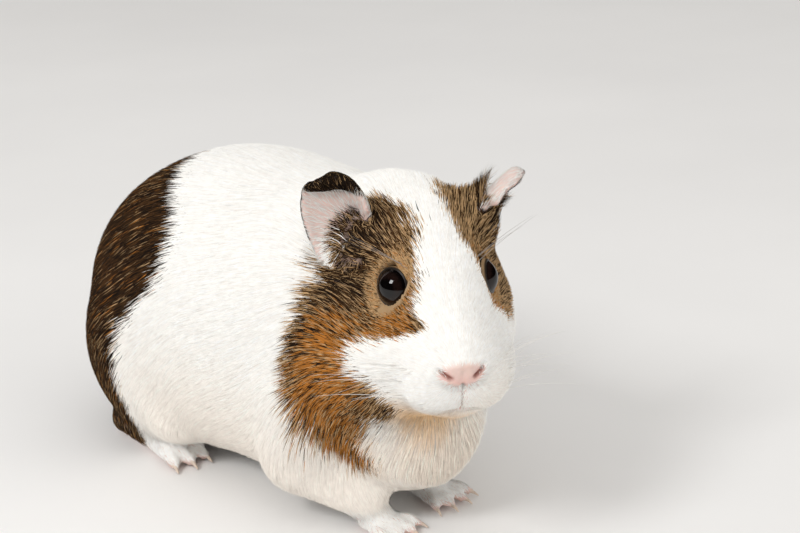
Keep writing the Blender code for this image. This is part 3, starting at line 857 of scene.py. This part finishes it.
def tuftMesh(name, roots, mids, tips, normals, widths, colours, mapPlaces):
    count = len(roots)
    along = unit(tips - roots)
    across = unit(np.cross(normals, along))
    rise = np.cross(along, across)
    angles = np.radians([90, 210, 330])
    ring = across[:, None] * np.cos(angles)[None, :, None]
    ring = ring + rise[:, None] * np.sin(angles)[None, :, None] * coat["flat"]
    bend = mids[:, None] + ring * widths[:, None, None] / 2
    points = np.concatenate([roots[:, None], bend, tips[:, None]], axis=1)
    points[:, :, 2] = np.maximum(points[:, :, 2], coat["floor"])
    size = points.shape[1]
    faces = (tuftFaces[None] + (np.arange(count) * size)[:, None, None]).reshape(-1, 3)
    mesh = meshFromArrays(name, points.reshape(-1, 3), faces)
    root, mid, tip = colours
    setColours(mesh, np.stack([root] + [mid] * 3 + [tip], axis=1).reshape(-1, 3))
    layer = mesh.uv_layers.new(name="OFBake")
    spots = mapPlaces[:, None, None, :] + tuftMap()[None] * coat["patch"]
    layer.data.foreach_set("uv", spots.astype(np.float32).ravel())
    mesh.shade_smooth()
    # the coat catches light as the body under it does, so most of each normal is the skin's
    soft = unit(mix(unit(ring), normals[:, None], coat["softness"]))
    facing = np.concatenate([normals[:, None], soft, normals[:, None]], axis=1)
    mesh.normals_split_custom_set_from_vertices(facing.reshape(-1, 3).astype(np.float32))
    return mesh


def unwrapped(triangles):
    # a flat map of part of the skin: the map places of each triangle's corners
    used, compact = np.unique(triangles, return_inverse=True)
    mesh = meshFromArrays("unwrap", skinPoints[used], compact.reshape(-1, 3))
    sheet = newObject("unwrap", mesh)
    mesh.uv_layers.new(name="OFBake")
    bpy.ops.object.select_all(action="DESELECT")
    sheet.select_set(True)
    bpy.context.view_layer.objects.active = sheet
    bpy.ops.object.mode_set(mode="EDIT")
    bpy.ops.mesh.select_all(action="SELECT")
    bpy.ops.uv.smart_project(angle_limit=math.radians(66), island_margin=0.004)
    bpy.ops.object.mode_set(mode="OBJECT")
    spots = np.empty(len(mesh.loops) * 2, dtype=np.float32)
    mesh.uv_layers["OFBake"].data.foreach_get("uv", spots)
    bpy.data.objects.remove(sheet)
    bpy.data.meshes.remove(mesh)
    return spots.reshape(-1, 3, 2)


def shortenedByEyes(points, sizes):
    clear, past = eyeClearance(points)
    least, starts, ends = eyeShape["shortHair"]
    share = np.where(clear < 5, least + (1 - least) * softStep(starts, ends, past), 1)
    return sizes * np.stack([share, share, 0.4 + 0.6 * share], axis=1)


def growCoat():
    # the roots, bends and tips of every tuft
    triangles = surfaceTriangles(skin.data)
    centres = skinPoints[triangles].mean(axis=1)
    faceNormals = unit(skinNormals[triangles].mean(axis=1))
    faceOwners = skinOwners[triangles[:, 0]]
    _, sizes = coatAt(centres)
    sizes = shortenedByEyes(centres, sizes)
    hairy = 1 - bareness(centres, faceNormals, faceOwners)
    isEar = isNode(faceOwners, "ear")
    sizes = np.where(isEar[:, None], np.array(earLooks["hair"]) * mm, sizes)
    wanted = hairy / (sizes[:, 0] * sizes[:, 2])
    chosen, weights = rootsOn(triangles, wanted, coat["total"])
    roots = (skinPoints[triangles[chosen]] * weights[:, :, None]).sum(axis=1)
    normals = unit((skinNormals[triangles[chosen]] * weights[:, :, None]).sum(axis=1))
    owners = faceOwners[chosen]
    lies, sizes = coatAt(roots)
    sizes = shortenedByEyes(roots, sizes)
    onEar = isNode(owners, "ear")
    paleHair, darkHair, backHair = np.zeros((3, len(roots)), bool)
    for name in ears:
        mine = isNode(owners, "ear_" + name)
        lies = np.where(mine[:, None], unit(roots - ears[name][0]), lies)
        inner, root, fold = earZones(roots, normals, name)
        paleHair |= mine & (inner > 0.5) & (root < 0.15) & (fold < 0.5)
        paleHair |= mine & (bareTip(roots, name) > 0.5)
        darkHair |= mine & (fold > 0.5) & ~paleHair
        backHair |= mine & (fold <= 0.5) & (inner < 0.3) & ~paleHair
        above, reach, taller = earLooks["fringe"][name]
        away = np.linalg.norm(roots - ears[name][0] - ears[name][3] * above * mm, axis=1) / mm
        near = (1 - softStep(0.4, 1.0, away / reach)) * ~onEar
        lies = unit(mix(lies, ears[name][3], near[:, None]))
        sizes = sizes + near[:, None] * np.array((0.6, 1, 0)) * taller * mm
    sizes = np.where(onEar[:, None], np.array(earLooks["hair"]) * mm, sizes)
    count = len(roots)
    pick, jitter = random.random(count), random.normal(0, 0.5, count).clip(-1.2, 1.2)
    turned = lies + np.cross(normals, lies) * random.normal(0, coat["sideways"], count)[:, None]
    ways = flattened(turned, normals)
    lengths = sizes[:, 0] * random.uniform(0.75, 1.2, count)
    heights = sizes[:, 1] * random.uniform(*coat["spread"], count)
    widths = sizes[:, 2] * random.uniform(0.7, 1.3, count)
    places, bendNormals = onSkin(roots + ways * lengths[:, None] * 0.5)
    mids = places + bendNormals * (heights * 0.62)[:, None]
    secondLies, _ = coatAt(places)
    secondLies = np.where(onEar[:, None], ways, secondLies)
    onward = flattened(0.5 * ways + secondLies, bendNormals)
    places, tipNormals = onSkin(places + onward * lengths[:, None] * 0.5)
    tips = places + tipNormals * heights[:, None]
    leaders = random.permutation(count)[:count // coat["clumpEvery"]]
    leader = leaders[nearestOf(roots, leaders)]
    pull = coat["clump"] * random.uniform(0.4, 1.2, count)
    offset = tips[leader] - roots[leader] - (tips - roots)
    together = roots[leader] - roots
    tips = tips + (offset * 0.5 + together) * pull[:, None]
    tufts = {"roots": roots, "mids": mids, "tips": tips, "normals": normals, "widths": widths,
             "owners": owners, "pick": pick, "jitter": jitter, "chosen": chosen, "weights": weights,
             "paleHair": paleHair, "darkHair": darkHair, "backHair": backHair}
    return tufts, triangles


coatGroups = {
    "coatHead": ("head",),
    "coatNeck": ("neck",),
    "coatTrunk": ("trunk",),
    "coatLegs": ("foreleg", "hindleg"),
    "coatPaws": feet,
    "coatEars": ("ear",),
}


def makeCoat(material):
    tufts, triangles = growCoat()
    colouring = ("roots", "pick", "jitter", "paleHair", "darkHair", "backHair")
    colours = coatColours(*(tufts[key] for key in colouring))
    for name, starts in coatGroups.items():
        group = np.flatnonzero(isNode(tufts["owners"], *starts))
        order = group[np.argsort(tufts["roots"][group, 1], kind="stable")]
        pieces = max(1, math.ceil(len(order) / coat["limit"]))
        for number, part in enumerate(np.array_split(order, pieces), 1):
            if len(part) == 0:
                continue
            label = name + (str(number) if pieces > 1 else "")
            used, compact = np.unique(tufts["chosen"][part], return_inverse=True)
            spots = unwrapped(triangles[used])[compact]
            mapPlaces = (spots * tufts["weights"][part][:, :, None]).sum(axis=1)
            shape = (tufts[key][part] for key in ("roots", "mids", "tips", "normals", "widths"))
            mesh = tuftMesh(label, *shape, [colour[part] for colour in colours], mapPlaces)
            piece = newObject(label, mesh, material)
            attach(piece, "root")
            piece.visible_shadow = False
            print("  ", label, len(part), "tufts")


def mottleGroup():
    # soft mottling of a colour: lighter and darker spots of a given size
    group = bpy.data.node_groups.new("mottle", "ShaderNodeTree")
    colour, number = "NodeSocketColor", "NodeSocketFloat"
    for name, kind in (("Colour", colour), ("Size", number), ("Amount", number)):
        group.interface.new_socket(name, in_out="INPUT", socket_type=kind)
    for name, kind in (("Colour", colour), ("Grain", number)):
        group.interface.new_socket(name, in_out="OUTPUT", socket_type=kind)
    nodes, links = group.nodes, group.links
    given, result = nodes.new("NodeGroupInput"), nodes.new("NodeGroupOutput")
    where = nodes.new("ShaderNodeTexCoord")
    noise = nodes.new("ShaderNodeTexNoise")
    noise.inputs["Detail"].default_value = 4
    links.new(where.outputs["Object"], noise.inputs["Vector"])
    links.new(given.outputs["Size"], noise.inputs["Scale"])
    spread = nodes.new("ShaderNodeMapRange")
    for socket, value in (("From Min", 0.3), ("From Max", 0.7), ("To Min", -1), ("To Max", 1)):
        spread.inputs[socket].default_value = value
    links.new(noise.outputs["Fac"], spread.inputs["Value"])
    times = nodes.new("ShaderNodeMath")
    times.operation = "MULTIPLY_ADD"
    links.new(spread.outputs["Result"], times.inputs[0])
    links.new(given.outputs["Amount"], times.inputs[1])
    times.inputs[2].default_value = 1
    scale = nodes.new("ShaderNodeVectorMath")
    scale.operation = "SCALE"
    links.new(given.outputs["Colour"], scale.inputs[0])
    links.new(times.outputs["Value"], scale.inputs["Scale"])
    links.new(scale.outputs["Vector"], result.inputs["Colour"])
    links.new(noise.outputs["Fac"], result.inputs["Grain"])
    return group


mottle = mottleGroup()


def addMottle(nodes, links, colour, size, amount):
    # colour is a socket or a plain colour
    placed = nodes.new("ShaderNodeGroup")
    placed.node_tree = mottle
    placed.inputs["Size"].default_value = size
    placed.inputs["Amount"].default_value = amount
    if isinstance(colour, tuple):
        placed.inputs["Colour"].default_value = (*colour, 1)
    else:
        links.new(colour, placed.inputs["Colour"])
    return placed


finishes = {
    # size and strength of the mottling, then what the shader is given
    "coat": (500, 0.04, {"Roughness": 0.85, "Specular IOR Level": 0.06}),
    "skin": (700, 0.05, {"Roughness": 0.5, "Subsurface Weight": 0.12, "Subsurface Scale": 0.002,
                         "Subsurface Radius": (1.0, 0.35, 0.2)}),
    "eye": (900, 0.3, {"Roughness": 0.12, "Specular IOR Level": 0, "Coat Weight": 0.75,
                       "Coat Roughness": 0.015}),
    "lid": (1200, 0.2, {"Roughness": 0.38}),
    "horn": (900, 0.15, {"Roughness": 0.35}),
    "whisker": (300, 0.1, {"Roughness": 0.4}),
    "floor": (6, 0.02, {"Roughness": 0.7}),
}
pores = {"size": 2400, "amount": 0.5, "strength": 0.15, "depth": 0.0003}  # depth in metres


def newFinish(name, colour=None):
    # mottles a plain colour, or else the colour that the piece carries
    size, amount, given = finishes[name]
    material = bpy.data.materials.new(name)
    material.use_nodes = True
    nodes, links = material.node_tree.nodes, material.node_tree.links
    shader = nodes["Principled BSDF"]
    if colour is None:
        tone = nodes.new("ShaderNodeAttribute")
        tone.attribute_name = "coatColour"
        colour = tone.outputs["Color"]
    spots = addMottle(nodes, links, colour, size, amount)
    links.new(spots.outputs["Colour"], shader.inputs["Base Color"])
    for socket, value in given.items():
        shader.inputs[socket].default_value = value
    return material


def addPores(material):
    nodes, links = material.node_tree.nodes, material.node_tree.links
    spots = addMottle(nodes, links, (0.5, 0.5, 0.5), pores["size"], pores["amount"])
    bump = nodes.new("ShaderNodeBump")
    bump.inputs["Strength"].default_value = pores["strength"]
    bump.inputs["Distance"].default_value = pores["depth"]
    links.new(spots.outputs["Grain"], bump.inputs["Height"])
    links.new(bump.outputs["Normal"], nodes["Principled BSDF"].inputs["Normal"])


coatFinish, skinFinish, eyeFinish = newFinish("coat"), newFinish("skin"), newFinish("eye")
lidFinish, hornFinish, whiskerFinish = newFinish("lid"), newFinish("horn"), newFinish("whisker")
addPores(skinFinish)

skin.data.materials.clear()
skin.data.materials.append(skinFinish)
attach(skin, "root")
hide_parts(*fleshNodes, *earNodes)

print("coat")
makeCoat(coatFinish)


def eyeTurn(side):
    # local Z looks out along the eye's axis and local X along the head
    axis = eyeAxis(side)
    x = (headForward - axis * headForward.dot(axis)).normalized()
    y = axis.cross(x)
    return Matrix.Translation(eyeCentres[side]) @ Matrix((x, y, axis)).transposed().to_4x4()


def makeEye(side):
    form = bmesh.new()
    bmesh.ops.create_uvsphere(form, u_segments=48, v_segments=32, radius=eyeRadius)
    for vertex in form.verts:
        turned = math.degrees(vertex.co.angle(up)) if vertex.co.length else 0
        swell = math.exp(-(turned / eyeShape["bulgeSpan"]) ** 2) * eyeShape["bulge"] * mm
        vertex.co += vertex.co.normalized() * swell
    form.transform(eyeTurn(side))
    mesh = meshFrom("eyeball", form)
    mesh.shade_smooth()
    _, _, turned = fromEye(pointsOf(mesh), side)
    (innerStart, innerEnd), (outerStart, outerEnd) = eyeShape["iris"]
    iris = softStep(innerStart, innerEnd, turned) * (1 - softStep(outerStart, outerEnd, turned))
    setColours(mesh, mix(tones["pupil"], tones["iris"], iris[:, None]))
    ball = newObject("eyeball_" + side, mesh, eyeFinish)
    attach(ball, "root")
    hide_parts("eye_" + side)


def makeLids(side):
    # a thin band that lies on the ball and rolls over at its inner edge
    opening = eyeShape["opening"][side]
    form = bmesh.new()
    ring = []
    for past, off in eyeShape["lid"]:
        angle, radius = math.radians(opening + past), eyeRadius + off * mm
        ring.append(form.verts.new((radius * math.sin(angle), 0, radius * math.cos(angle))))
    edges = [form.edges.new(pair) for pair in zip(ring, ring[1:])]
    bmesh.ops.spin(form, geom=ring + edges, cent=(0, 0, 0), axis=(0, 0, 1), angle=2 * math.pi, steps=56,
                   use_merge=True)
    bmesh.ops.remove_doubles(form, verts=form.verts, dist=0.00001)
    bmesh.ops.recalc_face_normals(form, faces=form.faces)
    past = np.array([math.degrees(vertex.co.angle(up)) for vertex in form.verts]) - opening
    form.transform(eyeTurn(side))
    mesh = meshFrom("lids", form)
    mesh.shade_smooth()
    outer = softStep(*eyeShape["darkTo"], past)[:, None]
    setColours(mesh, mix(tones["black"] * 0.6, tones["golden"] * 0.5, outer))
    lids = newObject("eyelids_" + side, mesh, lidFinish)
    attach(lids, "root")


print("eyes")
for side in sides:
    makeEye(side)
    makeLids(side)


whiskers = {
    "perSide": 13,
    "rows": ((9, 11.5, 64), (12, 13, 60), (10, 11, 56.5)),  # roots: back, out, height
    "apart": (1.4, 0.5),  # mm back and out from one whisker of a row to the next
    "sweep": (0.35, 0.22),  # how far back the first of a row points, and how much more each next one
    "stray": (0.06, 0.14),  # how far single whiskers turn back and up
    "lift": 0.05,  # how far they point up
    "length": (17, 31),
    "radius": 0.10,
    "droop": 0.16,
    "brow": ((27, 12.5, 90.5), (29, 13.5, 90), (25, 12, 89)),
    "browLength": (19, 3),  # mm of the first, and how much longer each next one
    "browWay": (0.15, 0.9, 0.55),  # back, out and up of the first
    "browFan": 0.12,  # how much more each next one points forward and up
    "browRadius": 0.08,
    "browDroop": 0.1,
    "sunk": 0.4,  # mm that roots lie in the skin
    "steps": 9,  # rings along a strand
}


def strandMesh(name, strands, droop, colour, around=5, taper=0.85):
    # fine strands, each a root, a way, a length and a radius: rings that bend down and out to a tip
    form = bmesh.new()
    steps = whiskers["steps"]
    for root, way, length, radius in strands:
        spots = [root + way * length * t - up * droop * length * t * t for t in np.linspace(0, 1, steps + 1)]
        previous = None
        for i, spot in enumerate(spots[:-1]):
            ahead = (spots[i + 1] - spot).to_track_quat("Z", "Y").to_matrix().to_4x4()
            made = bmesh.ops.create_circle(form, segments=around, radius=radius * (1 - i / steps * taper),
                                           matrix=Matrix.Translation(spot) @ ahead)["verts"]
            edges = list(dict.fromkeys(e for v in made for e in v.link_edges if e.other_vert(v) in made))
            if previous:
                bmesh.ops.bridge_loops(form, edges=previous + edges)
            else:
                form.faces.new(made)
            previous = edges
        tip = form.verts.new(spots[-1])
        for edge in previous:
            form.faces.new((edge.verts[0], edge.verts[1], tip))
    bmesh.ops.recalc_face_normals(form, faces=form.faces)
    mesh = meshFrom(name, form)
    mesh.shade_smooth()
    setColours(mesh, np.tile(np.array(colour), (len(mesh.vertices), 1)))
    return mesh


def addHairs(name, hairs, droop, colour):
    # each hair is a place near its root, a way, a length and a radius in millimetres
    strands = [(skinTree.find_nearest(place)[0] - way * whiskers["sunk"] * mm, way, length * mm, radius * mm)
               for place, way, length, radius in hairs]
    piece = newObject(name, strandMesh(name, strands, droop, colour), whiskerFinish)
    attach(piece, "root")


def whiskerOf(number, sign):
    step, row = divmod(number, len(whiskers["rows"]))
    back, out, height = whiskers["rows"][row]
    (apartBack, apartOut), (sweep, further) = whiskers["apart"], whiskers["sweep"]
    strayBack, strayUp = whiskers["stray"]
    place = headPlace(back + step * apartBack, (out + step * apartOut) * sign, height)
    lieBack = sweep + further * step + random.normal(0, strayBack)
    way = headVector(lieBack, sign, random.normal(whiskers["lift"], strayUp)).normalized()
    length = random.uniform(*whiskers["length"])
    return place, way, length, whiskers["radius"] * random.uniform(0.8, 1.1)


def browHairOf(number, sign):
    back, out, height = whiskers["brow"][number]
    length, longer = whiskers["browLength"]
    wayBack, wayOut, wayUp = whiskers["browWay"]
    turn = whiskers["browFan"] * number
    way = headVector(wayBack - turn, sign * wayOut, wayUp + turn).normalized()
    return headPlace(back, out * sign, height), way, length + longer * number, whiskers["browRadius"]


def makeWhiskers():
    for side, sign in sides.items():
        hairs = [whiskerOf(number, sign) for number in range(whiskers["perSide"])]
        addHairs("whiskers_" + side, hairs, whiskers["droop"], tones["whisker"])
        hairs = [browHairOf(number, sign) for number in range(len(whiskers["brow"]))]
        addHairs("browHairs_" + side, hairs, whiskers["browDroop"], tones["browHair"])


print("whiskers")
makeWhiskers()


claws = {
    # degrees between toes and of their heading to the right; the rest in mm
    "forefoot": {"toes": 4, "spread": 15, "heading": -5,
                 "reach": 11.8, "apart": 3.25, "radius": 0.85, "length": 3.6},
    "hindfoot": {"toes": 3, "spread": 9, "heading": 7,
                 "reach": 15.0, "apart": 4.0, "radius": 1.15, "length": 4.6},
    "search": (3.2, 2.5),  # mm round a toe's guessed tip and above the floor that are searched
    "shows": 0.5,  # mm of a claw past its toe
    "rise": 1.9,  # height of its root, in radii
    "droop": 0.42,
}


def makeClaws():
    # each claw ends at the tip of its toe on the CAD foot
    around, above = claws["search"]
    for foot in feet:
        shape = claws[foot]
        for side, sign in sides.items():
            node = foot + "_" + side
            low, high = (Vector(corner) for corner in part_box(node))
            corners = [v.co.copy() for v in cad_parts[node].data.vertices]
            heading = shape["heading"] * (sign if foot == "hindfoot" else 1)
            strands = []
            for i in range(shape["toes"]):
                out = i - (shape["toes"] - 1) / 2
                angle = math.radians(shape["spread"] * out + heading)
                way = Vector((-math.sin(angle), -math.cos(angle), 0))
                x, y = (low.x + high.x) / 2 - out * shape["apart"] * mm, low.y + shape["reach"] * mm
                guess = Vector((x, y, 0)) + way * shape["reach"] * mm
                near = [c for c in corners if (c.xy - guess.xy).length < around * mm and c.z < above * mm]
                tip = max(near, key=lambda c: c.dot(way)) if near else guess
                root = tip - way * (shape["length"] - claws["shows"]) * mm
                root.z = shape["radius"] * claws["rise"] * mm
                strands.append((root, way, shape["length"] * mm, shape["radius"] * mm))
            mesh = strandMesh("claws", strands, claws["droop"], tones["horn"], around=8, taper=0.8)
            piece = newObject("claws_" + node, mesh, hornFinish)
            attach(piece, "root")


print("claws")
makeClaws()


studio = {
    "eyeToCamera": (-0.3446, -0.3698, 0.1850),  # metres from the right eye to the camera
    "look": (0.641, 0.687),  # the way that the camera faces over the floor
    "pitch": 19.5,  # degrees down
    "roll": -2.65,
    "lens": 85.0,
    "target": (0, 0, 0.05),  # what the lights face
    "world": 0.62,
    "worldColour": (1.0, 0.985, 0.96),
    "floor": (0.86, 0.85, 0.84),
    "floorRadius": 4,
}
lights = {
    # the way to it, distance and width in metres, watts; ways are right, up and back as the camera sees them,
    # but the overhead's is the room's own
    "key": ((-0.555, 0.437, 0.71), 1.2, 0.34, 5.8),
    "softbox": ((-0.75, 0.6, 0.75), 1.4, 1.3, 1.6),
    "overhead": ((0.1, 0.15, 1), 1.3, 1.6, 2.8),
    "fill": ((0.8, 0, 0.5), 1.4, 1.2, 5.5),
}


def makeCamera():
    flat = Vector((*studio["look"], 0)).normalized()
    pitch = math.radians(studio["pitch"])
    look = flat * math.cos(pitch) - up * math.sin(pitch)
    roll = Matrix.Rotation(math.radians(studio["roll"]), 3, "Z").to_quaternion()
    turn = look.to_track_quat("-Z", "Y") @ roll
    data = bpy.data.cameras.new("camera")
    data.lens = studio["lens"]
    data.sensor_width = 36
    data.clip_start = 0.01
    camera = bpy.data.objects.new("camera", data)
    camera.location = eyeCentres["right"] + Vector(studio["eyeToCamera"])
    camera.rotation_mode = "QUATERNION"
    camera.rotation_quaternion = turn
    bpy.context.scene.collection.objects.link(camera)
    bpy.context.scene.camera = camera
    return turn.to_matrix()


def addLight(name, view):
    way, distance, width, power = lights[name]
    direction = (Vector(way) if name == "overhead" else view @ Vector(way)).normalized()
    data = bpy.data.lights.new(name, "AREA")
    data.size = width
    data.energy = power
    lamp = bpy.data.objects.new(name, data)
    lamp.location = Vector(studio["target"]) + direction * distance
    lamp.rotation_mode = "QUATERNION"
    lamp.rotation_quaternion = direction.to_track_quat("Z", "Y")
    lamp.visible_glossy = name == "key"  # only the key shows in the eyes
    bpy.context.scene.collection.objects.link(lamp)


def makeStudio():
    view = makeCamera()
    for name in lights:
        addLight(name, view)
    world = bpy.data.worlds.new("studio")
    world.use_nodes = True
    background = world.node_tree.nodes["Background"]
    background.inputs["Color"].default_value = (*studio["worldColour"], 1)
    background.inputs["Strength"].default_value = studio["world"]
    world.cycles_visibility.glossy = False
    bpy.context.scene.world = world
    bpy.context.scene.view_settings.view_transform = "Standard"
    form = bmesh.new()
    below = Matrix.Translation((0, 0, -0.0002))
    bmesh.ops.create_circle(form, cap_ends=True, segments=96, radius=studio["floorRadius"], matrix=below)
    floor = newObject("floor", meshFrom("floor", form), newFinish("floor", studio["floor"]))


print("studio")
makeStudio()
